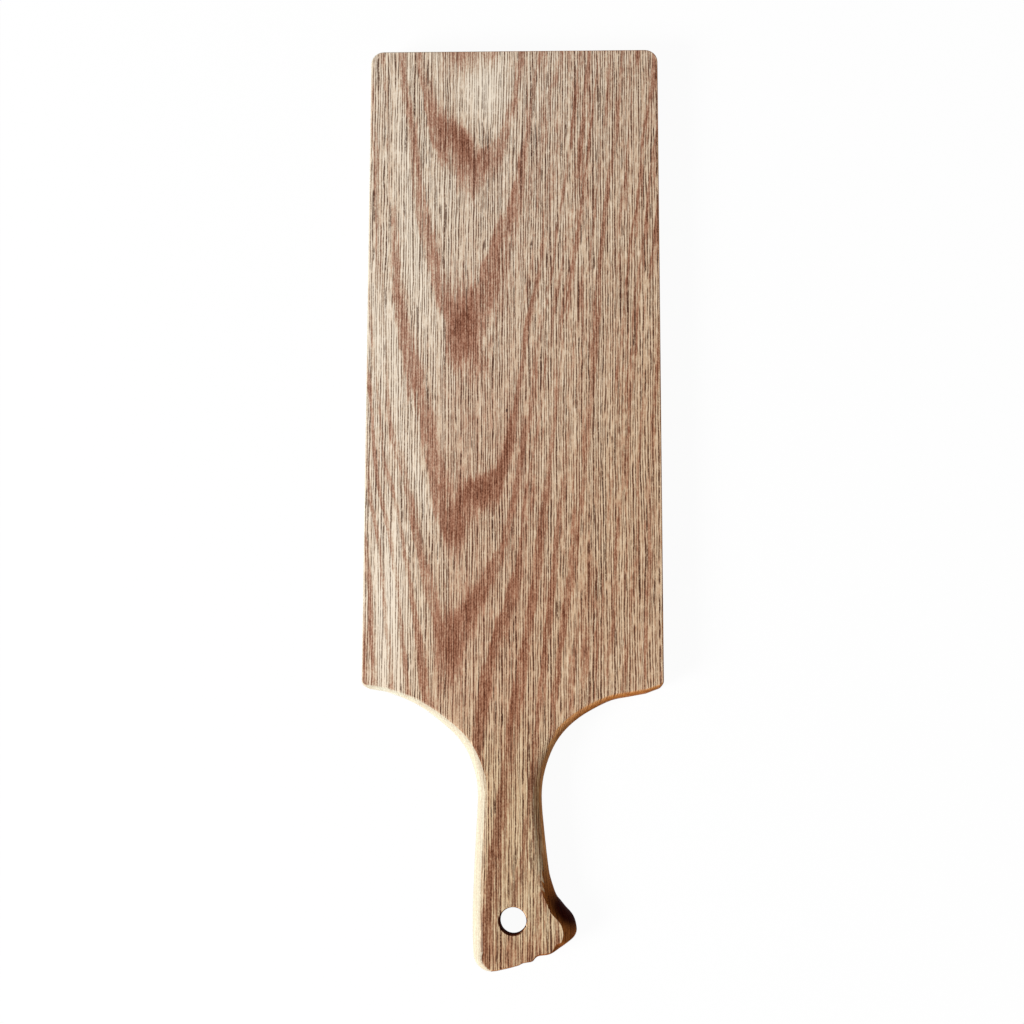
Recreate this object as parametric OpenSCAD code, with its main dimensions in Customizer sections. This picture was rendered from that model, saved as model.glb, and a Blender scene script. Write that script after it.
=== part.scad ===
// Paddle board for serving: one plank of red oak, sawn and shaped in one piece.
// Seen from above, the blade is a long rectangle. Two hollow shoulders lead from it to a handle
// that widens to a hook on its right side and ends in a slanted, slightly uneven butt.
// X runs across the board, Y from the butt towards the far end, Z up from the face it rests on.

/* [Plank] */
// Thickness of the plank
plank_t = 19; // [16:0.5:30]
// Width of the blade
blade_w = 184; // [130:1:250]
// Length of the blade, from the corners of its shoulders to its far end
blade_len = 408.5; // [250:0.5:550]

/* [Corners seen from above] */
// Radius of the two corners at the far end
end_corner_r = 8; // [4:0.5:24]
// Radius of the two corners of the shoulders
shoulder_corner_r = 4; // [3:0.5:8]
// Radius of the left corner of the butt
butt_corner_r = 11; // [8.4:0.2:14]

/* [Handle] */
// Length of the handle, from the corners of the shoulders to the lowest point of the butt
handle_len = 168.5; // [150:0.5:220]
// Width of the neck, where the handle is narrowest
neck_w = 38.8; // [32:0.2:50]
// How far the middle of the neck lies to the left of the blade's middle
neck_shift = 1.6; // [0:0.1:6]
// Distance from the corners of the shoulders down to the neck
neck_drop = 65; // [55:1:85]
// How far the left side of the handle stands out at the butt, past the neck
heel_reach = 2.2; // [0:0.1:6]

/* [Hook] */
// How far the tip of the hook stands out past the right side of the neck
hook_reach = 21; // [12:0.1:28]
// Height of the hook's tip above the lowest point of the butt, along the board
hook_rise = 25; // [20:0.5:30]
// Depth of the hook's bevel, down from the upper face
bevel_h = 12.5; // [6:0.5:12.5]
// Slope of the bevel where it leaves the upper face, in degrees
bevel_start = 30; // [10:1:45]
// Rounding of the hook's lower edge
hook_low_round = 3; // [1:0.5:3]

/* [Edges] */
// Easing of the blade's sides and far end
blade_ease = 0.8; // [0.4:0.1:2]
// Rounding of the shoulders' edges
shoulder_round = 3.8; // [2:0.2:5]
// Slope of the shoulders' rounding where it leaves a face, in degrees
shoulder_start = 25; // [0:1:40]
// Rounding of the handle's edges
handle_round = 8; // [4:0.2:8]
// Rounding of the butt's edges
butt_round = 1.4; // [0.6:0.1:2]

/* [Hang hole] */
// Diameter of the hole
hole_d = 15.9; // [8:0.1:20]
// Height of the hole's centre above the lowest point of the butt, along the board
hole_rise = 29.6; // [26:0.2:40]
// How far the hole's centre lies to the right of the blade's middle
hole_shift = 0.7; // [-3:0.1:4]
// Rounding of the hole's two mouths
hole_ease = 1.1; // [0.5:0.1:2]

/* [Hidden] */

oak_colour = [0.78, 0.62, 0.45];
board_len = blade_len + handle_len;
neck_y = handle_len - neck_drop;
right_neck_x = neck_w / 2 - neck_shift;
left_neck_x = neck_w / 2 + neck_shift;
hook_tip_x = right_neck_x + hook_reach;
heel_x = left_neck_x + heel_reach;
// Lowest point of the butt, to the left of the blade's middle
butt_low_x = heel_x - butt_corner_r;
// A rounding may take this much of the plank's thickness from each face
round_limit_share = 0.43;
grip_round = min(handle_round, plank_t * round_limit_share);
// Quarter turn, from a face to the wall
quarter = 90;

// Slopes at which the right and the left shoulder leave their corners, seen from above
right_corner_slope = 24;
left_corner_slope = 5;
// Rounding at the shoulders' corners, as a share of the corner's radius
corner_round_share = 0.4;
// Where along a shoulder its edge has its full rounding, before it grows to the handle's
full_round_share = 0.2;

// Points to a corner, and to the stretch between two knots of each side
corner_steps = 6;
right_steps = 3;
left_steps = 4;
// Steps from the upper face down to the wall, and from the wall to the lower face
upper_steps = 7;
lower_steps = 5;
mouth_steps = 6;
hole_fn = 96;

// Knots of the shoulders: [across, along]. Across runs from the neck, 0, to the blade's side, 1.
// Along runs from the corner, 0, to the neck, 1.
right_shoulder_shares = [
    [0.860, 0.042], [0.720, 0.072], [0.580, 0.104], [0.440, 0.178], [0.310, 0.268],
    [0.200, 0.377], [0.115, 0.505], [0.055, 0.655], [0.015, 0.815], [0.000, 0.960]
];
left_shoulder_shares = [
    [0.800, 0.028], [0.680, 0.076], [0.560, 0.134], [0.430, 0.222], [0.300, 0.332],
    [0.180, 0.452], [0.090, 0.590], [0.030, 0.760], [0.000, 0.950]
];

// Knots of the handle's left side: [across, along]. Across runs from the neck, 0, to the heel, 1.
// Along runs from the neck, 0, to the corner of the butt, 1.
left_grip_shares = [
    [0.14, 0.12], [0.45, 0.26], [0.73, 0.40], [0.95, 0.53], [1.14, 0.66], [1.23, 0.78], [1.18, 0.90]
];

// Knots of the handle's right side, down to the hook: [across, along, bevel].
// Across is a share of the hook's reach, past the neck. Along runs from the neck, 0, to the tip, 1.
right_grip_shares = [
    [0.010, 0.090, 0.00], [0.062, 0.240, 0.00], [0.118, 0.380, 0.00], [0.168, 0.490, 0.00],
    [0.222, 0.590, 0.10], [0.318, 0.680, 0.40], [0.420, 0.752, 0.75], [0.540, 0.792, 0.95],
    [0.680, 0.838, 1.00], [0.810, 0.874, 1.00], [0.910, 0.911, 1.00], [0.972, 0.957, 1.00]
];
// Rim of the upper face beside those of these knots that have a bevel, in the same shares
hook_rim_shares = [
    [-0.076, 0.599], [0.010, 0.700], [0.086, 0.777], [0.162, 0.824],
    [0.257, 0.879], [0.381, 0.918], [0.481, 0.945], [0.552, 0.974]
];

// Knots from the hook's tip along the butt: [across, up, bevel, turn].
// Across runs from the butt's lowest point, 0, to the tip, 1, and up from that point, 0, to the tip, 1.
// Turn is the share of a quarter turn that the edge reaches before the wall cuts it off.
butt_edge_shares = [
    [1.000, 0.985, 1.0, 1.00], [0.992, 0.890, 1.0, 0.95], [0.963, 0.800, 1.0, 0.72],
    [0.906, 0.710, 1.0, 0.52], [0.841, 0.612, 0.8, 0.50], [0.775, 0.516, 0.3, 0.75],
    [0.716, 0.440, 0.0, 1.00], [0.653, 0.392, 0.0, 1.00], [0.559, 0.368, 0.0, 1.00],
    [0.520, 0.324, 0.0, 1.00], [0.481, 0.240, 0.0, 1.00], [0.420, 0.212, 0.0, 1.00],
    [0.371, 0.196, 0.0, 1.00], [0.324, 0.148, 0.0, 1.00], [0.267, 0.112, 0.0, 1.00],
    [0.216, 0.084, 0.0, 1.00], [0.137, 0.048, 0.0, 1.00], [0.063, 0.014, 0.0, 1.00]
];
// Rim of the upper face beside those of these knots that have a bevel, in the same shares
butt_rim_shares = [
    [0.833, 0.972], [0.841, 0.892], [0.835, 0.800], [0.824, 0.716], [0.804, 0.620], [0.769, 0.548]
];

// Between a and b, by a share
function mix(a, b, share) = a * (1 - share) + b * share;

// The knot at index i, carried on past both ends of the list
function knot(knots, i) =
    i < 0 ? 2 * knots[0] - knots[1] :
    i > len(knots) - 1 ? 2 * knots[len(knots) - 1] - knots[len(knots) - 2] :
    knots[i];

// Smooth curve through four neighbouring knots, at t between the middle two
function curve(a, b, c, d, t) =
    (2 * b + (c - a) * t + (2 * a - 5 * b + 4 * c - d) * t * t + (3 * b - a - 3 * c + d) * t * t * t) / 2;

// Smooth curve through all the knots, with so many steps between neighbours
function smooth(knots, steps) = [
    for (i = [0:len(knots) - 2])
        for (k = [0:steps - 1])
            curve(knot(knots, i - 1), knots[i], knots[i + 1], knot(knots, i + 2), k / steps),
    knots[len(knots) - 1]
];

// A knot holds x, y, the edge's width and start slope, the share of bevel, the bevel's rim x and y,
// and the turn. Without a bevel the rim isn't used.
function plain_knot(x, y, edge, start) = [x, y, edge, start, 0, x, y, 1];

// Part of a circle in the outline, from one angle to another, with an edge that grows or shrinks
function corner(x, y, r, from, to, edge_from, edge_to, start_from, start_to) = [
    for (k = [0:corner_steps])
        let (share = k / corner_steps, a = mix(from, to, share))
            plain_knot(
                x + r * cos(a),
                y + r * sin(a),
                mix(edge_from, edge_to, share),
                mix(start_from, start_to, share)
            )
];

corner_round = min(shoulder_round, shoulder_corner_r * corner_round_share);

// The far corner and the shoulder's corner of the right side, and, with side -1, of the left side
function blade_side(side, slope) = [
    for (p = concat(
        corner(blade_w / 2 - end_corner_r, board_len - end_corner_r, end_corner_r,
            quarter, 0, blade_ease, blade_ease, 0, 0),
        corner(blade_w / 2 - shoulder_corner_r, handle_len + shoulder_corner_r, shoulder_corner_r,
            0, slope - quarter, blade_ease, corner_round, 0, shoulder_start)
    )) plain_knot(side * p[0], p[1], p[2], p[3])
];

function shoulder_knots(side, neck_x, shares) = [
    for (s = shares)
        plain_knot(
            side * mix(neck_x, blade_w / 2, s[0]),
            handle_len - neck_drop * s[1],
            lookup(s[1], [[0, corner_round], [full_round_share, shoulder_round], [1, grip_round]]),
            mix(shoulder_start, 0, s[1])
        )
];

function left_grip_knots() = [
    for (s = left_grip_shares)
        plain_knot(-mix(left_neck_x, heel_x, s[0]), mix(neck_y, butt_corner_r, s[1]), grip_round, 0)
];

// The knot of a bevelled edge, with its rim where there is one
function bevel_knot(at, rim, edge, bevel, turn) =
    [at[0], at[1], edge, bevel_start * bevel, bevel, rim[0], rim[1], turn];

function grip_at(s) = [right_neck_x + hook_reach * s[0], mix(neck_y, hook_rise, s[1])];

function right_grip_knots() =
    let (plain = len(right_grip_shares) - len(hook_rim_shares)) [
        for (i = [0:len(right_grip_shares) - 1])
            let (s = right_grip_shares[i], at = grip_at(s))
                bevel_knot(at, i < plain ? at : grip_at(hook_rim_shares[i - plain]), grip_round, s[2], 1)
    ];

function butt_at(s) = [mix(-butt_low_x, hook_tip_x, s[0]), hook_rise * s[1]];

function butt_knots() = [
    for (i = [0:len(butt_edge_shares) - 1])
        let (s = butt_edge_shares[i], at = butt_at(s))
            bevel_knot(
                at,
                i < len(butt_rim_shares) ? butt_at(butt_rim_shares[i]) : at,
                mix(butt_round, grip_round, s[2]),
                s[2],
                s[3]
            )
];

// Both sides of the outline, from the far end to the butt
right_side = concat(
    blade_side(1, right_corner_slope),
    smooth(concat(
        shoulder_knots(1, right_neck_x, right_shoulder_shares),
        right_grip_knots(),
        butt_knots()
    ), right_steps)
);
left_side = concat(
    blade_side(-1, left_corner_slope),
    smooth(concat(
        shoulder_knots(-1, left_neck_x, left_shoulder_shares),
        left_grip_knots()
    ), left_steps),
    corner(-butt_low_x, butt_corner_r, butt_corner_r,
        -2 * quarter, -quarter, grip_round, butt_round, 0, 0)
);

// The closed outline, clockwise seen from above
outline = concat(right_side, [for (i = [len(left_side) - 1:-1:0]) left_side[i]]);
count = len(outline);

function xy(p) = [p[0], p[1]];

// Direction out of the board at point i of the outline
function outward(i) =
    let (
        step = xy(outline[(i + 1) % count]) - xy(outline[(i + count - 1) % count]),
        size = norm(step)
    )
        [-step[1], step[0]] / size;

// Where the upper face ends beside point i
function rim_at(i) =
    let (p = outline[i])
        mix(xy(p) - outward(i) * p[2], [p[5], p[6]], p[4]);

// Rings of points from the rim of the upper face down to the wall
function upper_ring(k) = [
    for (i = [0:count - 1])
        let (
            p = outline[i],
            start = p[3],
            end = quarter * min(p[7], 1),
            a = mix(start, end, k / upper_steps),
            reach = (sin(a) - sin(start)) / (sin(end) - sin(start)),
            at = mix(rim_at(i), xy(p), reach),
            depth = mix(p[2], bevel_h, p[4]) * (cos(start) - cos(a)) / cos(start)
        )
            [at[0], at[1], plank_t - depth]
];

// Rings of points from the wall down to the rim of the lower face
function lower_ring(k) = [
    for (i = [0:count - 1])
        let (
            p = outline[i],
            edge = mix(p[2], min(p[2], hook_low_round), p[4]),
            a = quarter * k / lower_steps,
            at = xy(p) - outward(i) * edge * (1 - cos(a))
        )
            [at[0], at[1], edge * (1 - sin(a))]
];

rings = concat(
    [for (k = [0:upper_steps]) upper_ring(k)],
    [for (k = [0:lower_steps]) lower_ring(k)]
);

// Two triangles between neighbouring rings, beside point i
function band(ring, i) =
    let (
        a = ring * count + i,
        b = ring * count + (i + 1) % count,
        c = a + count,
        d = b + count
    )
        [[a, d, b], [a, c, d]];

// Triangles across a face, from the far end down, between points i of its right side and j of its left
function across(ring, i, j) =
    let (
        last_i = len(right_side) - 1,
        last_j = len(left_side) - 1,
        base = ring * count,
        right = base + i,
        left = base + count - 1 - j,
        go_right = j == last_j || (i < last_i && rings[ring][i + 1][1] > rings[ring][count - 2 - j][1])
    )
        i == last_i && j == last_j ? [] :
        go_right ? concat([[right, left, right + 1]], across(ring, i + 1, j)) :
        concat([[right, left, left - 1]], across(ring, i, j + 1));

function turned(faces) = [for (f = faces) [f[2], f[1], f[0]]];

module blank() {
    polyhedron(
        points = [for (ring = rings) each ring],
        faces = concat(
            turned(across(0, 0, 0)),
            [for (ring = [0:len(rings) - 2]) for (i = [0:count - 1]) each band(ring, i)],
            across(len(rings) - 1, 0, 0)
        ),
        convexity = 6
    );
}

// The hole, as the profile of what it removes: a straight wall between two rounded mouths
module hang_hole() {
    hole_r = hole_d / 2;
    mouth_r = hole_r + hole_ease;
    upper_mouth = [
        for (k = [0:mouth_steps])
            let (a = quarter * k / mouth_steps)
                [mouth_r - hole_ease * cos(a), plank_t - hole_ease + hole_ease * sin(a)]
    ];
    lower_mouth = [
        for (k = [0:mouth_steps])
            let (a = quarter * k / mouth_steps)
                [mouth_r - hole_ease * sin(a), hole_ease - hole_ease * cos(a)]
    ];
    translate([hole_shift, hole_rise, 0])
        rotate_extrude($fn = hole_fn)
            polygon(concat(
                [[0, -hole_ease], [mouth_r, -hole_ease]],
                lower_mouth,
                upper_mouth,
                [[mouth_r, plank_t + hole_ease], [0, plank_t + hole_ease]]
            ));
}

module board() {
    color(oak_colour)
        translate([0, -board_len / 2, 0])
            difference() {
                blank();
                hang_hole();
            }
}

board();
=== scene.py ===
"""Looks of the paddle serving board: one plank of oiled red oak on a pale studio floor."""

import math
from collections import namedtuple
from types import SimpleNamespace

import bmesh
import bpy
import numpy as np
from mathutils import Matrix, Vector


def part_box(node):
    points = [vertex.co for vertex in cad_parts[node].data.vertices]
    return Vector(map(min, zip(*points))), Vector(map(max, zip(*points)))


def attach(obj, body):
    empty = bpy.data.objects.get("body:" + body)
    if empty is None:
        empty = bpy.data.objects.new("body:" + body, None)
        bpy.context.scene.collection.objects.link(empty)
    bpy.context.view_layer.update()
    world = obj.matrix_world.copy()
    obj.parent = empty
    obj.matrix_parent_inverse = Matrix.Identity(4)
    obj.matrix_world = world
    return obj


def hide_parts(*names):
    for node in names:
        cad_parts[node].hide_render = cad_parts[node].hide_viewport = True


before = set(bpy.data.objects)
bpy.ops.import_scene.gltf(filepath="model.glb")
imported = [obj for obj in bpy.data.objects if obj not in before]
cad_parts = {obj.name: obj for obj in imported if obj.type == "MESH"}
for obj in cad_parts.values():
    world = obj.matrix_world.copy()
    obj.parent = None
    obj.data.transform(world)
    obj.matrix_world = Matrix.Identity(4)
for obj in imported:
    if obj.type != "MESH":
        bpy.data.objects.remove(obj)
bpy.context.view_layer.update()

MM = 0.001


def rgb(red, green, blue):
    """Linear colour of an sRGB one that is given out of 255."""
    def linear(value):
        share = value / 255
        return share / 12.92 if share <= 0.04045 else ((share + 0.055) / 1.055) ** 2.4
    return (linear(red), linear(green), linear(blue), 1)


# Camera: where the photograph was taken from, in the board's frame
CAMERA_AT_MM = (31.37, -194.97, 1144.98)
CAMERA_TURN_DEG = (9.227, 1.598, 0.158)
CAMERA_LENS_MM = 65
CAMERA_SENSOR_MM = 36

# Light: a softbox low on the side of the heel, and a plain world
KEY_FROM = (-0.80, -0.42, 0.52)
KEY_DISTANCE = 3.2
KEY_SIZE = 1.3
KEY_WATTS = 152
WORLD_LEVEL = 0.28
# The world's strength where it is seen: white
SEEN_LEVEL = 1.0

FLOOR_COLOUR = (0.93, 0.93, 0.93, 1)
FLOOR_ROUGHNESS = 0.9
FLOOR_SIDE = 8.0
# How far the floor lies below the board, so that their faces never coincide
FLOOR_GAP_MM = 0.05
# Share of the floor's look that stays white where it is seen, so that its shadow is light
FLOOR_WHITE_SHARE = 0.955

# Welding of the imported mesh, and the cuts that give its faces points to carry the grain
WELD_MM = 0.002
FLAT_DEG = 0.05
CUT_X_MM = 4
CUT_Y_MM = 6
CUT_TOLERANCE_MM = 0.001
SHARP_DEG = 22
# How much more a large face counts than a small one where they share a point's normal
FACE_WEIGHT = 90

# Growth rings: points of each ring's dark line on the upper face, in mm, from the innermost ring out
RING_LINES = (
    ((-61, 283), (-57, 258), (-52, 237), (-40, 220), (-26, 211), (-13, 218), (-4, 240), (4, 278)),
    ((-73, 280), (-67, 240), (-62, 200), (-56, 165), (-45, 122), (-33, 84), (-22, 106), (-9, 155),
     (0, 185), (8, 210), (12, 255), (17, 282)),
    ((-84, 280), (-79, 200), (-72, 123), (-62, 78), (-50, 20), (-45, -8), (-38, -24), (-22, 0),
     (-9, 8), (-2, 32), (5, 75), (14, 128), (20, 185), (25, 226), (35, 282)),
    ((-88, 205), (-84, 120), (-80, 65), (-72, 22), (-61, -22), (-51, -62), (-40, -94), (-27, -73),
     (-11, -47), (0, -8), (7, 40), (16, 105), (27, 170), (41, 280)),
    ((-81, 20), (-66, -42), (-56, -105), (-22, -165), (-17, -115), (-5, -75), (8, -5), (18, 52),
     (26, 120), (38, 195), (48, 280)),
    ((-88, 50), (-79, -12), (-70, -72), (-65, -118), (-18, -275), (-10, -218), (-4, -165), (4, -115),
     (13, -62), (20, 0), (28, 75), (38, 150), (54, 280)),
    ((-3, -285), (5, -232), (10, -190), (17, -130), (24, -55), (31, 10), (39, 95), (49, 178), (61, 282)),
    ((15, -250), (26, -125), (35, -50), (42, 20), (50, 100), (59, 190), (69, 282)),
    ((38, -125), (47, -60), (54, 15), (60, 100), (69, 185), (79, 282)),
    ((48, -120), (56, -45), (62, 30), (70, 115), (79, 190), (87, 255)),
    ((58, -115), (64, -30), (69, 50), (76, 120), (88, 215)),
    ((70, -115), (77, -20), (81, 60), (88, 150)),
    ((80, -115), (84, 0), (89, 85)),
)
# Reach of the field of rings in mm across the plank, and how much farther it reaches along it
RING_REACH_MM = 10.0
RING_ALONG = 4.0
RING_SMOOTHING = 0.02
LEAST_DISTANCE = 1e-9
# Rings crossed in each millimetre down into the plank
RING_DIP = 0.16

# Darker and paler patches of the upper face, in mm; x moves by the lean for each mm along y
Patch = namedtuple("Patch", "x y half_x half_y lean depth")
DARK_PATCHES = (
    Patch(-41, 238, 7, 13, -0.3, 0.9),
    Patch(-30, 226, 7, 15, -0.3, 0.9),
    Patch(-32, 112, 7, 22, 0.0, 1.0),
    Patch(-22, 3, 12, 9, 0.6, 0.8),
    Patch(-38, -18, 6, 14, 0.0, 0.5),
    Patch(-4, 28, 4, 14, 0.3, 0.7),
    Patch(-43, -108, 9, 26, 0.0, 0.5),
    Patch(-27, -70, 6, 14, 0.4, 0.5),
    Patch(-90, -98, 3, 36, 0.0, 1.3),
)
PALE_PATCHES = (
    Patch(-77, -78, 11, 60, 0.0, 0.9),
    Patch(-60, 140, 8, 45, -0.2, 0.5),
    Patch(-70, 215, 5, 40, -0.1, 0.5),
    Patch(-44, 190, 9, 20, 0.0, 0.4),
    Patch(-56, 0, 5, 35, -0.3, 0.5),
    Patch(-80, 95, 9, 45, -0.1, 0.6),
    Patch(-19, 264, 14, 26, 0.0, 1.2),
)

# Hang hole: its place, and the radii of its wall and of its rounded mouth
HOLE_AT_MM = (0.7, -258.9)
HOLE_WALL_MM = 8.0
HOLE_MOUTH_MM = 9.2
# The mouth gets painted shade on the side that this direction points to, over this distance
HOLE_LEE = (-0.6, -0.8, 0)
HOLE_LEE_MM = (0.0, 4.0)
# Soft borders: past the wall, within the mouth, and past the mouth
WALL_SOFT_MM = 0.4
MOUTH_SOFT_MM = 0.6
RIM_SOFT_MM = 0.5

# Layout of the bake, as shares of its square: margin, length, width of a face, and of one mm of depth
BAKE_EDGE = 0.005
BAKE_SPAN = 0.99
BAKE_FACE = 0.405
BAKE_FACES = (0.005, 0.415)
BAKE_DEPTH = 0.0018
BAKE_STRIPS = (0.826, 0.868, 0.910, 0.952)
# Row and strip of the end faces: shoulders, butt, far end, top of the hook
BAKE_ENDS = ((0.34, 2), (0.67, 2), (0.0, 2), (0.0, 3))
# Row of the hole's wall, and rows for each radian around it
BAKE_HOLE = 0.6
BAKE_TURN = 0.02
# What counts as the hole's wall, as the handle, and as a face that looks up or down
BAKE_HOLE_MM = HOLE_MOUTH_MM + 1
BAKE_HANDLE_MM = -200
BAKE_LEVEL = 0.5

# The wood's noises: scale for each mm across and along the fibres, and detail
Noise = namedtuple("Noise", "across along detail")
SWAY = Noise(0.03, 0.008, 1.0)
WIGGLE = Noise(0.35, 0.1, 0.0)
RAGGED = Noise(0.12, 0.02, 2.0)
FRAYED = Noise(0.9, 0.04, 1.0)
STREAK = Noise(0.45, 0.03, 0.0)
HAIR = Noise(1.25, 0.05, 0.0)
SPECK = Noise(1.6, 0.9, 0.0)
FLAKE = Noise(0.9, 0.22, 0.0)
# How far the fibres wander sideways, in mm, and how far the rings' edges stray, in rings
SWAY_MM = 1.5
WIGGLE_MM = 0.35
RAGGED_RINGS = 0.20
FRAYED_RINGS = 0.16

# Noises that follow the rings: scale for each ring and for each mm along the plank
RingNoise = namedtuple("RingNoise", "ring along seed detail rough")
VIGOUR = RingNoise(3.7, 0.004, 0.0, 0.0, 0.5)
INNER_BANDS = RingNoise(2.6, 0.006, 0.0, 2.0, 0.6)
THIN_BANDS = RingNoise(4.2, 0.007, 9.0, 1.0, 0.5)

# Where the late wood of each ring rises and falls, in rings from its dark line, on either arm of an arch
LEFT_ARM = ((-0.42, -0.10), (0.08, 0.20))
RIGHT_ARM_RISE = (-0.22, -0.12)
RIGHT_ARM_END = 0.45
# The ring with shorter late wood, and how much shorter it is
SHORT_RING = 1
SHORT_RING_CUT = 0.25
# Where, going right, the rings change from left arms to right arms
ARMS_MEET_MM = (-50, -32)
# Weights of what makes up the bands of late wood
BANDS = SimpleNamespace(
    late=0.75, inner=0.75, dark=0.75, pale=-0.5, hair=0.12,
    streak=0.2, streak_far_right=0.2, thin=0.2, thin_far_right=0.8,
    vigour=0.75, vigour_spread=0.8, late_far_right=-0.3,
)
# Range of the summed bands over which the wood goes from early to late
BROWN_RANGE = (-0.05, 0.95)

# Lines along the fibres, in mm: a dash shows where its noise climbs from low to high
Lines = namedtuple("Lines", "pitch dash low high seed phase")
RIDGES = Lines(1.55, 13.0, -0.9, 0.1, 3.0, 0.0)
GLEAMS = Lines(1.55, 9.0, -0.6, 0.3, 3.0, 0.5)
RARE_RIDGES = Lines(1.9, 22.0, -0.15, 0.3, 17.0, 0.0)
# Drift of the lines: scale for each pitch across and for each mm along, and depth in pitches
DRIFT_ACROSS = 0.7
DRIFT_ALONG = 0.012
DRIFT_PITCHES = 0.65
# Each line's own start along its noise and own share of dashes, and the make of the dashes' noise
LINE_START = 100.0
LINE_SHARE = 0.4
DASH_DETAIL = 1.0
DASH_ROUGH = 0.6
# How far the lines move on the sides, in mm for each mm of depth
LINE_LEAN = -0.8

# Zones of the plank: ranges in mm over which they begin or end
FAR_RIGHT_MM = (-5, 30)
OFF_LEFT_MM = (-70, -25)
MIDDLE_X_MM = ((-62, -36), (0, 35))
MIDDLE_Y_MM = (30, 120)
GRIP_MM = (-190, -120)
BUTT_TONE_MM = (-278, -262)
BUTT_MM = (-262, -252)
HOOK_X_MM = (8, 18)
HOOK_Y_MM = (-243, -212)
NECK_MM = (-178, -140)
SHADED_SIDE_MM = (-22, -8)
# How far a face's turn to the right moves the border of the right side, whose edges carry painted shade
SHADED_SIDE_TURN_MM = 25

# Tones of the wood from pale to dark, and tints that multiply them
WOOD_TONES = (
    (0.0, rgb(244, 230, 210)),
    (0.3, rgb(215, 192, 167)),
    (0.55, rgb(186, 145, 122)),
    (0.78, rgb(152, 105, 84)),
    (1.0, rgb(108, 62, 44)),
)
# Weights of what makes up the tone, from 0, the palest, to 1, the darkest
TONE = SimpleNamespace(
    base=0.19, brown=0.45, brown_in_grip=0.12, brown_in_middle=-0.08, brown_on_ridge=-0.08,
    brown_on_speck=0.10, grip=-0.06, middle=0.10, butt=0.14, off_left=0.06, dark=0.12, pale=-0.26,
    hair=0.08, streak=0.05, flake=0.11, flake_far_right=0.06, ridge=0.18, gleam=-0.16, speck=0.14,
)
RIDGE_TONE = (0.1, 0.8)
GLEAM_TONE = (0.3, 0.9)
# How warm the wood is: at the board's middle, and added for each mm along and across, and by pale patches
WARMTH = SimpleNamespace(base=0.62, along=-0.0028, across=0.006, pale=-0.4)
WHITE = (1, 1, 1, 1)
WARM_TINT = (0.90, 0.797, 0.69, 1)
GRIP_TINT = (0.99, 1.025, 0.975, 1)
GRIP_BROWN_TINT = (0.98, 1.06, 1.1, 1)
# Painted shade for the neck's right rounding
NECK_SHADE_TINT = (1.0, 0.83, 0.66, 1)
PORE_TINT = (0.08, 0.03, 0.022, 1)
RIM_SPECK_TINT = (0.5, 0.42, 0.35, 1)
# Turns the wood's mean colour into about white, so that its grain can multiply a rim's colour
RIM_GRAIN_GAIN = (1.9, 2.7, 4.0, 1)

# Colours of the edges by side and place. The pale left edge is partly sapwood and partly painted
# highlight; the right side, the shoulders' fronts, the hook, its hollow and the hole carry painted shade
SAPWOOD_AND_HIGHLIGHT_EDGE = rgb(207, 198, 176)
RIGHT_SIDE_SHADE = rgb(212, 156, 104)
SHOULDER_FRONT_SHADE = rgb(166, 102, 48)
BUTT_EDGE = rgb(124, 80, 46)
END_EDGE = rgb(196, 150, 112)
HOOK_SHADE = rgb(154, 90, 42)
HOOK_HOLLOW_SHADE = rgb(48, 9, 2)
# Hole: the wall's darker end grain with painted shade, and painted shade on the shaded side of its mouth
HOLE_WALL_AND_SHADE = rgb(82, 34, 16)

# Share of the specks' tint and of the wood's grain on an edge, and how far specks and the shaded right
# side add to it
RIM = SimpleNamespace(speck=0.15, speck_spread=0.3, grain=0.15, grain_shaded_side=0.3)

# Height of a facet's normal over which a face turns into an edge
EDGE_FACING = (0.92, 0.96)
# By how much that height is less on the neck's right, and how far hairs fray the border
NECK_SLACK = 0.26
EDGE_FRAY = 0.004
# Height of a facet's normal over which the neck's rounding takes its painted shade
NECK_FACING = (0.78, 0.98)
# Facing along the plank: of any end grain, of the far end, of the shoulders' fronts, and of the butt
END_FACING = (0.55, 0.8)
FAR_END_FACING = (0.5, 0.8)
FRONT_FACING = (-0.8, -0.2)
BUTT_FACING = (-0.75, -0.4)

# Painted shade in the hollow of the hook's bevel: its middle, its reach across and along its slant, and
# its soft border
HOLLOW_AT_MM = (33, -253)
HOLLOW_REACH_MM = (7.44, 13.1)
HOLLOW_RANGE = (0.5, 1.35)

# Pores: how sharply the lines make them, and open dots on the end grain
RIDGE_PORE = (0.45, 0.9)
RARE_PORE = (0.62, 0.88)
DOTS_PER_MM = (1.25, 0.2, 1.25)
DOT_RANGE = (0.16, 0.34)
# Depth of the pores of each kind, and what adds to them or weakens them
PORES = SimpleNamespace(
    ridge=0.93, rare=0.95, flake=0.7, speck=0.7, brown=-0.5, pale=-0.35, edge=-0.85, shaded_side_edge=0.45,
    dots=0.63, dots_brown=-0.35,
)

# One small knot-dark fleck: twice as long as it is wide
FLECK = rgb(58, 34, 32)
FLECK_AT_MM = (-4, 52)
FLECK_SHAPE = (1.0, 0.5, 0)
FLECK_RANGE_MM = (0.35, 0.9)
FLECK_SHARE = 0.9
FLECK_FACING = (0.5, 0.9)

# Finish: roughness, with what the hole's wall, the edges and the pores add to it, and bump
ROUGH = SimpleNamespace(base=0.42, hole=0.5, edge=0.2, pore=0.25)
SPECULAR = 0.02
HEIGHT = SimpleNamespace(hair=0.2, pore=-1.0)
BUMP_STRENGTH = 0.35
BUMP_MM = 0.15


# The plank's mesh

def thin_plate(distance):
    """Kernel of a thin plate, at distances from its control points; it is 0 at a point itself."""
    safe = np.maximum(distance, LEAST_DISTANCE)
    return safe * safe * np.log(safe)


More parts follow.
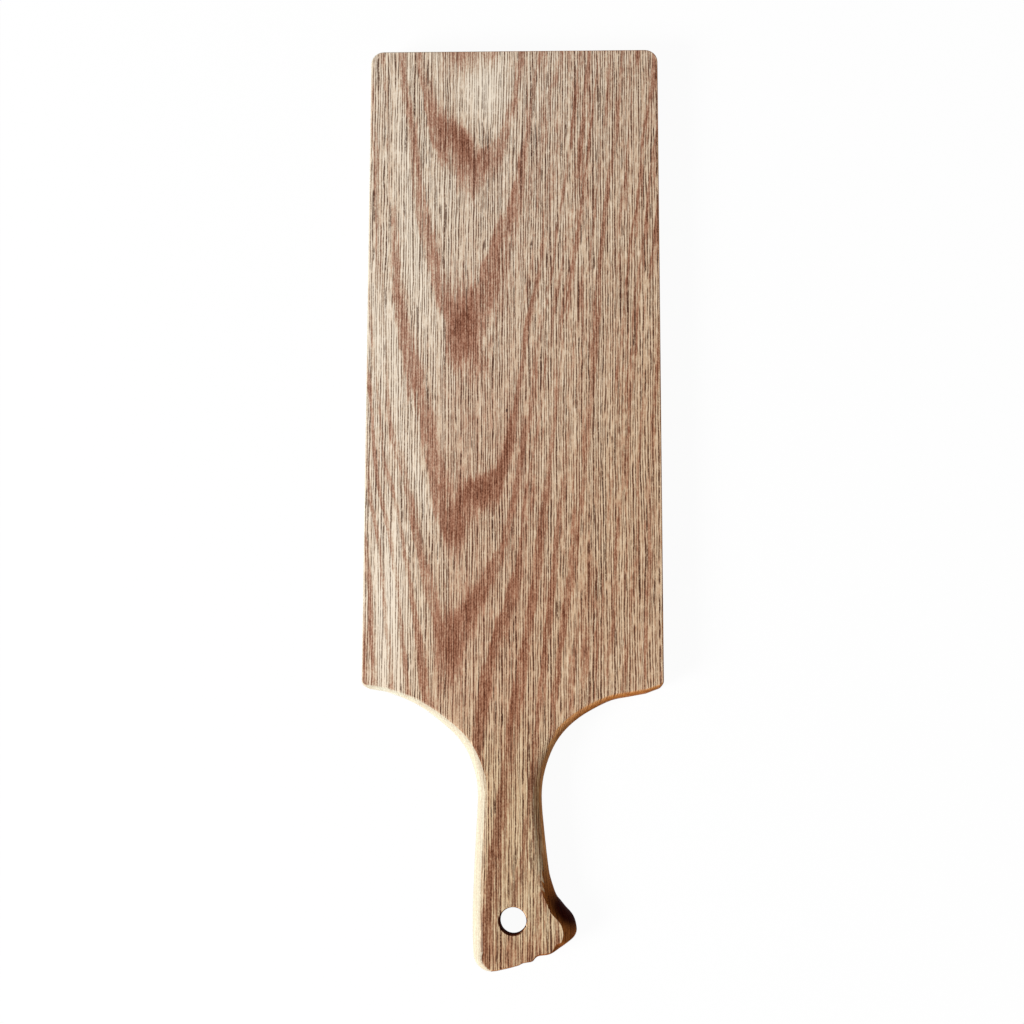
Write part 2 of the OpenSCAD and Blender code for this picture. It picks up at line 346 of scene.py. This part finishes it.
def ring_field(points_mm):
    """Ring number at points of the plank: a thin plate through RING_LINES, dipping with depth."""
    knots = np.array([p for line in RING_LINES for p in line], float)
    number = np.array([i for i, line in enumerate(RING_LINES) for _ in line], float)
    reach = np.array((RING_REACH_MM, RING_REACH_MM * RING_ALONG))
    a = knots / reach
    size = len(a)
    flat = np.c_[np.ones(size), a]
    left = thin_plate(np.linalg.norm(a[:, None] - a[None], axis=2)) + RING_SMOOTHING * np.eye(size)
    system = np.block([[left, flat], [flat.T, np.zeros((3, 3))]])
    weights = np.linalg.solve(system, np.r_[number, np.zeros(3)])
    b = points_mm[:, :2] / reach
    near = thin_plate(np.linalg.norm(b[:, None] - a[None], axis=2))
    field = near @ weights[:size] + np.c_[np.ones(len(b)), b] @ weights[size:]
    top = points_mm[:, 2].max()
    return field - RING_DIP * (top - points_mm[:, 2])


def patch_field(points_mm, patches):
    """Sum of soft patches at points of the plank."""
    total = np.zeros(len(points_mm))
    for patch in patches:
        along = points_mm[:, 1] - patch.y
        across = points_mm[:, 0] - patch.x - patch.lean * along
        total += patch.depth * np.exp(-((across / patch.half_x) ** 2 + (along / patch.half_y) ** 2))
    return total


def lay_out_bake(mesh):
    """UV map for a bake: both faces side by side, then strips for the sides, ends, hook and hole."""
    low, high = (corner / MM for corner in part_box("board"))
    along, across = BAKE_SPAN / (high.y - low.y), BAKE_FACE / (high.x - low.x)
    uv = mesh.uv_layers.new(name="OFBake")
    hole = Vector((*HOLE_AT_MM, 0))
    for polygon in mesh.polygons:
        normal, middle = polygon.normal, polygon.center / MM
        from_hole = middle - hole
        from_hole.z = 0
        turn = math.atan2(from_hole.y, from_hole.x)
        for corner, vertex in zip(polygon.loop_indices, polygon.vertices):
            at = mesh.vertices[vertex].co / MM
            x, y, z = (at.x - low.x) * across, (at.y - low.y) * along, at.z * BAKE_DEPTH
            row, column = y, z
            if abs(normal.z) > BAKE_LEVEL:
                column = x + (BAKE_FACES[0] if normal.z > 0 else BAKE_FACES[1])
            elif from_hole.length < BAKE_HOLE_MM:
                spot = at - hole
                step = (math.atan2(spot.y, spot.x) - turn + math.pi) % math.tau - math.pi
                row, column = BAKE_HOLE + BAKE_TURN * (turn + step), z + BAKE_STRIPS[3]
            elif abs(normal.x) > abs(normal.y):
                column = z + (BAKE_STRIPS[0] if normal.x > 0 else BAKE_STRIPS[1])
            else:
                near = middle.y < BAKE_HANDLE_MM
                start, strip = BAKE_ENDS[2 * (normal.y > 0) + near]
                row, column = (at.x - low.x) * along + start, z + BAKE_STRIPS[strip]
            uv.data[corner].uv = (column, row + BAKE_EDGE)


def plank_mesh(source):
    """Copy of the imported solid's mesh, welded and cut into a grid that carries the grain."""
    bm = bmesh.new()
    bm.from_mesh(source)
    bmesh.ops.remove_doubles(bm, verts=bm.verts, dist=WELD_MM * MM)
    bmesh.ops.dissolve_limit(bm, angle_limit=math.radians(FLAT_DEG), verts=bm.verts, edges=bm.edges)
    low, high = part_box("board")
    for axis, step in ((0, CUT_X_MM * MM), (1, CUT_Y_MM * MM)):
        normal = Vector((axis == 0, axis == 1, 0))
        for i in range(int(low[axis] / step), int(high[axis] / step) + 1):
            bmesh.ops.bisect_plane(
                bm, geom=[*bm.verts, *bm.edges, *bm.faces], dist=CUT_TOLERANCE_MM * MM,
                plane_co=normal * i * step, plane_no=normal,
            )
    mesh = bpy.data.meshes.new("oak_plank")
    bm.to_mesh(mesh)
    bm.free()
    mesh.attributes.remove(mesh.attributes["custom_normal"])
    mesh.update()
    lay_out_bake(mesh)
    mesh.shade_smooth()
    mesh.set_sharp_from_angle(angle=math.radians(SHARP_DEG))
    points = np.array([v.co for v in mesh.vertices]) / MM
    for name, values in (
        ("rings", ring_field(points)),
        ("dark", patch_field(points, DARK_PATCHES)),
        ("pale", patch_field(points, PALE_PATCHES)),
    ):
        layer = mesh.attributes.new(name, "FLOAT", "POINT")
        layer.data.foreach_set("value", values.astype(np.float32))
    return mesh


plank = bpy.data.objects.new("oak_plank", plank_mesh(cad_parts["board"].data))
bpy.context.scene.collection.objects.link(plank)
weighted = plank.modifiers.new("flat_faces", "WEIGHTED_NORMAL")
weighted.keep_sharp = True
weighted.weight = FACE_WEIGHT
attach(plank, "root")
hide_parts("board")


# Materials

class Graph:
    """Short calls for a material's nodes. A value is a number, a colour or another node's output."""

    def __init__(self, name):
        self.material = bpy.data.materials.new(name)
        self.material.use_nodes = True
        self.tree = self.material.node_tree
        self.shader = self.tree.nodes["Principled BSDF"]

    def put(self, socket, value):
        """Link the value to the socket, or set it there."""
        if isinstance(value, bpy.types.NodeSocket):
            self.tree.links.new(value, socket)
        else:
            socket.default_value = value

    def node(self, kind, out=0, sets=(), **inputs):
        """Output of a new node. Inputs are given by name, or by number as _0, _1 and so on."""
        made = self.tree.nodes.new(kind)
        for key, value in dict(sets).items():
            setattr(made, key, value)
        for key, value in inputs.items():
            self.put(made.inputs[int(key[1:])] if key[1:].isdigit() else made.inputs[key], value)
        return made.outputs[out]

    def math(self, operation, a, b=0.0, c=0.0):
        """One of the Math node's operations."""
        return self.node("ShaderNodeMath", sets={"operation": operation}, _0=a, _1=b, _2=c)

    def product(self, first, *others):
        """All the values multiplied."""
        for other in others:
            first = self.math("MULTIPLY", first, other)
        return first

    def total(self, base, *terms):
        """The base plus each term's value times its weight."""
        for value, weight in terms:
            base = self.math("MULTIPLY_ADD", value, weight, base)
        return base

    def absolute(self, value):
        """The value without its sign."""
        return self.math("ABSOLUTE", value)

    def clamped(self, value):
        """The value held between 0 and 1."""
        return self.node("ShaderNodeClamp", _0=value)

    def vector_math(self, operation, a, b=(0, 0, 0), out="Vector"):
        """One of the Vector Math node's operations."""
        return self.node("ShaderNodeVectorMath", out=out, sets={"operation": operation}, _0=a, _1=b)

    def scaled(self, vector, x, y, z):
        """The vector with each of its parts scaled."""
        return self.vector_math("MULTIPLY", vector, (x, y, z))

    def length(self, vector):
        """Length of the vector."""
        return self.vector_math("LENGTH", vector, out="Value")

    def joined(self, x, y, z):
        """Vector of three values."""
        return self.node("ShaderNodeCombineXYZ", _0=x, _1=y, _2=z)

    def split(self, vector):
        """The three parts of a vector."""
        made = self.tree.nodes.new("ShaderNodeSeparateXYZ")
        self.put(made.inputs[0], vector)
        return made.outputs

    def noise(self, vector, detail, rough=0.5):
        """Noise from -1 to 1."""
        value = self.node("ShaderNodeTexNoise", Vector=vector, Scale=1.0, Detail=detail, Roughness=rough)
        return self.math("MULTIPLY_ADD", value, 2.0, -1.0)

    def grain_noise(self, place, kind):
        """One of the wood's noises, at a place in mm."""
        return self.noise(self.scaled(place, kind.across, kind.along, kind.across), kind.detail)

    def ring_noise(self, rings, y, kind):
        """One of the noises that follow the rings, at a ring number and a place along the plank."""
        at = self.joined(self.product(rings, kind.ring), self.product(y, kind.along), kind.seed)
        return self.noise(at, kind.detail, kind.rough)

    def band(self, value, low, high, to_low=0.0, to_high=1.0):
        """Smooth step from low to high."""
        return self.node(
            "ShaderNodeMapRange", sets={"interpolation_type": "SMOOTHSTEP"},
            _0=value, _1=low, _2=high, _3=to_low, _4=to_high,
        )

    def fall(self, value, low, high):
        """Smooth step down from 1 at low to 0 at high."""
        return self.band(value, low, high, 1.0, 0.0)

    def mix(self, share, a, b, blend="MIX"):
        """Colour between a and b."""
        return self.node(
            "ShaderNodeMix", out=2, sets={"data_type": "RGBA", "blend_type": blend},
            _0=share, _6=a, _7=b,
        )

    def multiplied(self, colour, by):
        """The colour times another."""
        return self.mix(1.0, colour, by, "MULTIPLY")

    def tinted(self, colour, share, tint):
        """The colour times the tint, as far as the share goes."""
        return self.multiplied(colour, self.mix(share, WHITE, tint))

    def ramp(self, value, stops):
        """Colour of the value between stops, each a place and a colour."""
        made = self.tree.nodes.new("ShaderNodeValToRGB")
        elements = made.color_ramp.elements
        while len(elements) < len(stops):
            elements.new(0.5)
        for element, (place, colour) in zip(elements, stops):
            element.position = place
            element.color = colour
        self.put(made.inputs[0], value)
        return made.outputs[0]

    def attribute(self, name):
        """Number that the mesh carries under this name."""
        return self.node("ShaderNodeAttribute", out=2, sets={"attribute_name": name})


def fibre_lines(g, across, along, lines):
    """Ridges along the fibres at an uneven pitch, each broken into dashes of its own.

    A ridge is 1 on its crest and falls to 0 half a pitch away. Lines with half a pitch of phase run
    between those of the same seed.
    """
    drift_x, drift_y = g.product(across, DRIFT_ACROSS / lines.pitch), g.product(along, DRIFT_ALONG)
    drift = g.noise(g.joined(drift_x, drift_y, lines.seed), detail=0.0)
    count = g.total(lines.phase, (across, 1 / lines.pitch), (drift, DRIFT_PITCHES))
    away = g.absolute(g.math("SUBTRACT", g.math("FRACT", count), 0.5))
    own = g.node(
        "ShaderNodeTexWhiteNoise", sets={"noise_dimensions": "2D"},
        Vector=g.joined(g.math("FLOOR", count), lines.seed, 0.0),
    )
    start = g.product(own, LINE_START)
    dash_at = g.joined(start, g.total(start, (along, 1 / lines.dash)), lines.seed)
    dash = g.total(g.noise(dash_at, DASH_DETAIL, DASH_ROUGH), (own, LINE_SHARE), (1.0, -LINE_SHARE / 2))
    return g.product(g.total(1.0, (away, -2.0)), g.band(dash, lines.low, lines.high))


def find_surface(g):
    """Place on the plank in mm, swayed along the fibres, which way it faces, and the zones there."""
    place = g.scaled(g.node("ShaderNodeTexCoord", out="Object"), 1 / MM, 1 / MM, 1 / MM)
    shift = g.total(0.0, (g.grain_noise(place, SWAY), SWAY_MM), (g.grain_noise(place, WIGGLE), WIGGLE_MM))
    fibre = g.vector_math("ADD", place, g.joined(shift, 0.0, 0.0))
    x, y, z = g.split(fibre)
    facing = g.node("ShaderNodeNewGeometry", out="True Normal")
    facing = g.node("ShaderNodeVectorTransform", sets={"vector_type": "NORMAL"}, Vector=facing)
    nx, ny, nz = g.split(facing)
    hole_x, hole_y = HOLE_AT_MM
    from_hole = g.vector_math("ADD", place, (-hole_x, -hole_y, 0))
    # The right side, whose edges carry painted shade; a face that turns to the right counts as farther
    # right
    shaded_side = g.band(g.total(x, (nx, SHADED_SIDE_TURN_MM)), *SHADED_SIDE_MM)
    hook = g.product(g.fall(y, *HOOK_Y_MM), g.band(x, *HOOK_X_MM))
    return SimpleNamespace(
        place=place, fibre=fibre, x=x, y=y, z=z, nx=nx, ny=ny, nz=nz,
        up=g.absolute(nz),
        end=g.band(g.absolute(ny), *END_FACING),
        dark=g.attribute("dark"),
        pale=g.attribute("pale"),
        far_right=g.band(x, *FAR_RIGHT_MM),
        grip=g.fall(y, *GRIP_MM),
        shaded_side=shaded_side,
        hook=hook,
        neck=g.product(g.fall(y, *NECK_MM), shaded_side, g.total(1.0, (hook, -1.0))),
        hole_radius=g.length(g.scaled(from_hole, 1, 1, 0)),
        hole_lee=g.vector_math("DOT_PRODUCT", from_hole, HOLE_LEE, out="Value"),
    )


def fine_grain(g, s):
    """Streaks, hairs, specks and flakes of the fibres, and the lines that pores follow."""
    across = g.total(s.x, (g.math("SIGN", s.x), g.product(s.z, LINE_LEAN)))
    flank = g.total(1.0, (s.end, -1.0))
    return SimpleNamespace(
        streak=g.grain_noise(s.fibre, STREAK),
        hair=g.grain_noise(s.fibre, HAIR),
        speck=g.grain_noise(s.place, SPECK),
        flake=g.grain_noise(s.fibre, FLAKE),
        ridge=g.product(flank, fibre_lines(g, across, s.y, RIDGES)),
        gleam=g.product(flank, fibre_lines(g, across, s.y, GLEAMS)),
        rare_ridge=g.product(flank, fibre_lines(g, across, s.y, RARE_RIDGES)),
    )


def late_wood(g, s, fine):
    """Share of brown late wood: bands that follow the rings, ragged where they cross the fibres."""
    rings = g.total(
        g.attribute("rings"),
        (g.grain_noise(s.fibre, RAGGED), RAGGED_RINGS), (g.grain_noise(s.fibre, FRAYED), FRAYED_RINGS),
    )
    number = g.math("ROUND", rings)
    off = g.math("SUBTRACT", rings, number)
    rise, end = LEFT_ARM
    left_arm = g.product(g.band(off, *rise), g.fall(off, *end))
    is_short = g.math("COMPARE", number, SHORT_RING, 0.5)
    right_end = g.total(RIGHT_ARM_END, (is_short, -SHORT_RING_CUT))
    right_arm = g.product(g.band(off, *RIGHT_ARM_RISE), g.fall(off, 0.0, right_end))
    late = g.total(left_arm, (g.band(s.x, *ARMS_MEET_MM), g.math("SUBTRACT", right_arm, left_arm)))
    vigour = g.total(BANDS.vigour, (g.ring_noise(number, s.y, VIGOUR), BANDS.vigour_spread))
    late = g.product(late, vigour, g.total(1.0, (s.far_right, BANDS.late_far_right)))
    thin = g.ring_noise(rings, s.y, THIN_BANDS)
    inner = g.total(
        g.ring_noise(rings, s.y, INNER_BANDS),
        (thin, g.total(BANDS.thin, (s.far_right, BANDS.thin_far_right))),
    )
    bands = g.total(
        0.0,
        (inner, BANDS.inner),
        (late, BANDS.late),
        (s.dark, BANDS.dark),
        (s.pale, BANDS.pale),
        (fine.hair, BANDS.hair),
        (fine.streak, g.total(BANDS.streak, (s.far_right, BANDS.streak_far_right))),
    )
    return g.band(bands, *BROWN_RANGE)


def wood_colour(g, s, fine, brown):
    """Colour of the bare wood, warmer towards the handle and the right, with painted shade on the neck's
    right rounding.
    """
    rise, end = MIDDLE_X_MM
    middle = g.product(g.band(s.x, *rise), g.fall(s.x, *end), g.fall(s.y, *MIDDLE_Y_MM))
    tone = g.total(
        TONE.base,
        (brown, g.total(TONE.brown, (s.grip, TONE.brown_in_grip))),
        (s.grip, TONE.grip),
        (middle, g.total(TONE.middle, (brown, TONE.brown_in_middle))),
        (g.fall(s.y, *BUTT_TONE_MM), TONE.butt),
        (g.band(s.x, *OFF_LEFT_MM), TONE.off_left),
        (s.dark, TONE.dark),
        (s.pale, TONE.pale),
        (fine.hair, TONE.hair),
        (fine.streak, TONE.streak),
        (fine.flake, g.total(TONE.flake, (s.far_right, TONE.flake_far_right))),
        (g.band(fine.ridge, *RIDGE_TONE), g.total(TONE.ridge, (brown, TONE.brown_on_ridge))),
        (g.band(fine.gleam, *GLEAM_TONE), TONE.gleam),
        (fine.speck, g.total(TONE.speck, (brown, TONE.brown_on_speck))),
    )
    warm = g.total(WARMTH.base, (s.y, WARMTH.along), (s.x, WARMTH.across), (s.pale, WARMTH.pale))
    wood = g.tinted(g.ramp(tone, WOOD_TONES), g.clamped(warm), WARM_TINT)
    wood = g.tinted(wood, s.grip, GRIP_TINT)
    wood = g.tinted(wood, g.product(s.grip, brown), GRIP_BROWN_TINT)
    # Painted shade: the neck's right rounding darker and warmer as it turns away from up
    return g.tinted(wood, g.product(s.neck, g.fall(s.up, *NECK_FACING)), NECK_SHADE_TINT)


def edge_share(g, s, fine):
    """1 on the plank's edges and 0 on its faces and in the hole; a narrow edge on the neck's right."""
    steep = g.total(s.up, (s.neck, NECK_SLACK), (fine.hair, EDGE_FRAY))
    past_hole = g.band(s.hole_radius, HOLE_MOUTH_MM, HOLE_MOUTH_MM + RIM_SOFT_MM)
    return g.product(g.fall(steep, *EDGE_FACING), past_hole)


def hole_shade_share(g, s):
    """1 where painted shade goes: on the hole's wall, whose end grain is darker too, and on the shaded
    side of its mouth.
    """
    inside = g.fall(s.hole_radius, HOLE_WALL_MM, HOLE_WALL_MM + WALL_SOFT_MM)
    near = g.fall(s.hole_radius, HOLE_MOUTH_MM - MOUTH_SOFT_MM, HOLE_MOUTH_MM)
    return g.math("MAXIMUM", inside, g.product(g.band(s.hole_lee, *HOLE_LEE_MM), near))


def edge_colour(g, s, fine, wood):
    """Pale edges on the left, partly sapwood and partly painted highlight; painted shade on the right,
    darkest in the hollow of the hook.
    """
    # Painted shade on the right side, deeper on the shoulders' fronts
    right = g.mix(g.fall(s.ny, *FRONT_FACING), RIGHT_SIDE_SHADE, SHOULDER_FRONT_SHADE)
    right = g.mix(g.product(g.fall(s.ny, *BUTT_FACING), g.fall(s.y, *BUTT_MM)), right, BUTT_EDGE)
    # Pale edges on the left: partly sapwood, partly painted highlight
    rim = g.mix(s.shaded_side, SAPWOOD_AND_HIGHLIGHT_EDGE, right)
    rim = g.mix(g.band(s.ny, *FAR_END_FACING), rim, END_EDGE)
    # Painted shade on the hook's bevel
    rim = g.mix(s.hook, rim, HOOK_SHADE)
    # Painted shade in the hollow of the hook's bevel
    hollow_x, hollow_y = HOLLOW_AT_MM
    u, v, _ = g.split(g.vector_math("ADD", s.place, (-hollow_x, -hollow_y, 0)))
    across, along = (1 / (math.sqrt(2) * reach) for reach in HOLLOW_REACH_MM)
    u_and_v, u_less_v = g.math("ADD", u, v), g.math("SUBTRACT", u, v)
    hollow = g.length(g.joined(g.product(u_and_v, across), g.product(u_less_v, along), 0.0))
    rim = g.mix(g.fall(hollow, *HOLLOW_RANGE), rim, HOOK_HOLLOW_SHADE)
    rim = g.tinted(rim, g.total(RIM.speck, (fine.speck, RIM.speck_spread)), RIM_SPECK_TINT)
    grain_share = g.total(RIM.grain, (s.shaded_side, RIM.grain_shaded_side))
    return g.multiplied(rim, g.mix(grain_share, WHITE, g.multiplied(wood, RIM_GRAIN_GAIN)))


def pore_share(g, s, fine, brown, edge):
    """Thin dark grooves along the fibres, and open dots on the end grain."""
    pore = g.math(
        "MAXIMUM",
        g.product(g.band(fine.ridge, *RIDGE_PORE), PORES.ridge),
        g.product(g.band(fine.rare_ridge, *RARE_PORE), PORES.rare),
    )
    pore = g.product(
        pore,
        g.clamped(g.total(1.0, (fine.flake, PORES.flake), (fine.speck, PORES.speck))),
        g.total(1.0, (brown, PORES.brown)),
        g.total(1.0, (edge, g.total(PORES.edge, (s.shaded_side, PORES.shaded_side_edge)))),
        g.clamped(g.total(1.0, (s.pale, PORES.pale))),
    )
    dots = g.node("ShaderNodeTexVoronoi", Vector=g.scaled(s.place, *DOTS_PER_MM), Scale=1.0)
    dots = g.product(g.fall(dots, *DOT_RANGE), g.total(PORES.dots, (brown, PORES.dots_brown)), s.end)
    return g.math("MAXIMUM", pore, dots)


def fleck_share(g, s):
    """1 on the fleck of the upper face."""
    fleck_x, fleck_y = FLECK_AT_MM
    away = g.vector_math("ADD", s.place, (-fleck_x, -fleck_y, 0))
    away = g.length(g.scaled(away, *FLECK_SHAPE))
    return g.product(g.fall(away, *FLECK_RANGE_MM), FLECK_SHARE, g.band(s.nz, *FLECK_FACING))


def oak_material():
    """Oiled red oak: rings that cut the faces as cathedral arches, pores, fibres and one fleck, with
    painted highlight and painted shade on its edges and in its hole.
    """
    g = Graph("oiled_red_oak")
    s = find_surface(g)
    fine = fine_grain(g, s)
    brown = late_wood(g, s, fine)
    wood = wood_colour(g, s, fine, brown)
    edge = edge_share(g, s, fine)
    hole = hole_shade_share(g, s)
    pore = pore_share(g, s, fine, brown, edge)
    # Edges: painted highlight on the pale left, painted shade on the right, the hook and its hollow
    wood = g.mix(edge, wood, edge_colour(g, s, fine, wood))
    # Painted shade on the hole's wall and on the shaded side of its mouth
    wood = g.mix(hole, wood, HOLE_WALL_AND_SHADE)
    wood = g.tinted(wood, pore, PORE_TINT)
    wood = g.mix(fleck_share(g, s), wood, FLECK)
    rough = g.total(ROUGH.base, (hole, ROUGH.hole), (edge, ROUGH.edge), (pore, ROUGH.pore))
    height = g.total(0.0, (fine.hair, HEIGHT.hair), (pore, HEIGHT.pore))
    bump = g.node("ShaderNodeBump", Strength=BUMP_STRENGTH, Distance=BUMP_MM * MM, Height=height)
    g.put(g.shader.inputs["Base Color"], wood)
    g.put(g.shader.inputs["Roughness"], rough)
    g.shader.inputs["Specular IOR Level"].default_value = SPECULAR
    g.put(g.shader.inputs["Normal"], bump)
    return g.material


def seen_share(nodes, links):
    """1 for what the camera sees, straight or in a reflection, and 0 for what only lights the scene."""
    light = nodes.new("ShaderNodeLightPath")
    seen = light.outputs["Is Camera Ray"]
    for name in ("Is Glossy Ray", "Is Transmission Ray"):
        either = nodes.new("ShaderNodeMath")
        either.operation = "MAXIMUM"
        links.new(seen, either.inputs[0])
        links.new(light.outputs[name], either.inputs[1])
        seen = either.outputs[0]
    return seen


def floor_material():
    """White floor that keeps the board's shadow, and is near white where the camera sees it."""
    g = Graph("studio_floor")
    nodes, links = g.tree.nodes, g.tree.links
    g.shader.inputs["Base Color"].default_value = FLOOR_COLOUR
    g.shader.inputs["Roughness"].default_value = FLOOR_ROUGHNESS
    g.shader.inputs["Specular IOR Level"].default_value = 0.0
    seen = seen_share(nodes, links)
    white = nodes.new("ShaderNodeEmission")
    both = nodes.new("ShaderNodeMixShader")
    g.put(both.inputs[0], g.product(seen, FLOOR_WHITE_SHARE))
    links.new(g.shader.outputs[0], both.inputs[1])
    links.new(white.outputs[0], both.inputs[2])
    links.new(both.outputs[0], nodes["Material Output"].inputs["Surface"])
    return g.material


plank.data.materials.clear()
plank.data.materials.append(oak_material())

# Floor

floor_mesh = bpy.data.meshes.new("floor")
half = FLOOR_SIDE / 2
floor_corners = [(-half, -half, 0), (half, -half, 0), (half, half, 0), (-half, half, 0)]
floor_mesh.from_pydata(floor_corners, [], [(0, 1, 2, 3)])
floor_mesh.materials.append(floor_material())
floor = bpy.data.objects.new("floor", floor_mesh)
bpy.context.scene.collection.objects.link(floor)
floor.location.z = -FLOOR_GAP_MM * MM

# Light

world = bpy.data.worlds.new("studio")
bpy.context.scene.world = world
world.use_nodes = True
nodes, links = world.node_tree.nodes, world.node_tree.links
background = nodes["Background"]
background.inputs["Color"].default_value = WHITE
level = nodes.new("ShaderNodeMapRange")
level.inputs["To Min"].default_value = WORLD_LEVEL
level.inputs["To Max"].default_value = SEEN_LEVEL
links.new(seen_share(nodes, links), level.inputs["Value"])
links.new(level.outputs["Result"], background.inputs["Strength"])

key_data = bpy.data.lights.new("key", "AREA")
key_data.shape = "DISK"
key_data.size = KEY_SIZE
key_data.energy = KEY_WATTS
key = bpy.data.objects.new("key", key_data)
bpy.context.scene.collection.objects.link(key)
key.location = Vector(KEY_FROM).normalized() * KEY_DISTANCE
key.rotation_mode = "QUATERNION"
key.rotation_quaternion = key.location.to_track_quat("Z", "Y")

# Camera

camera_data = bpy.data.cameras.new("camera")
camera_data.lens = CAMERA_LENS_MM
camera_data.sensor_width = CAMERA_SENSOR_MM
camera = bpy.data.objects.new("camera", camera_data)
bpy.context.scene.collection.objects.link(camera)
camera.location = Vector(CAMERA_AT_MM) * MM
camera.rotation_euler = [math.radians(a) for a in CAMERA_TURN_DEG]
bpy.context.scene.camera = camera
bpy.context.scene.view_settings.view_transform = "Standard"
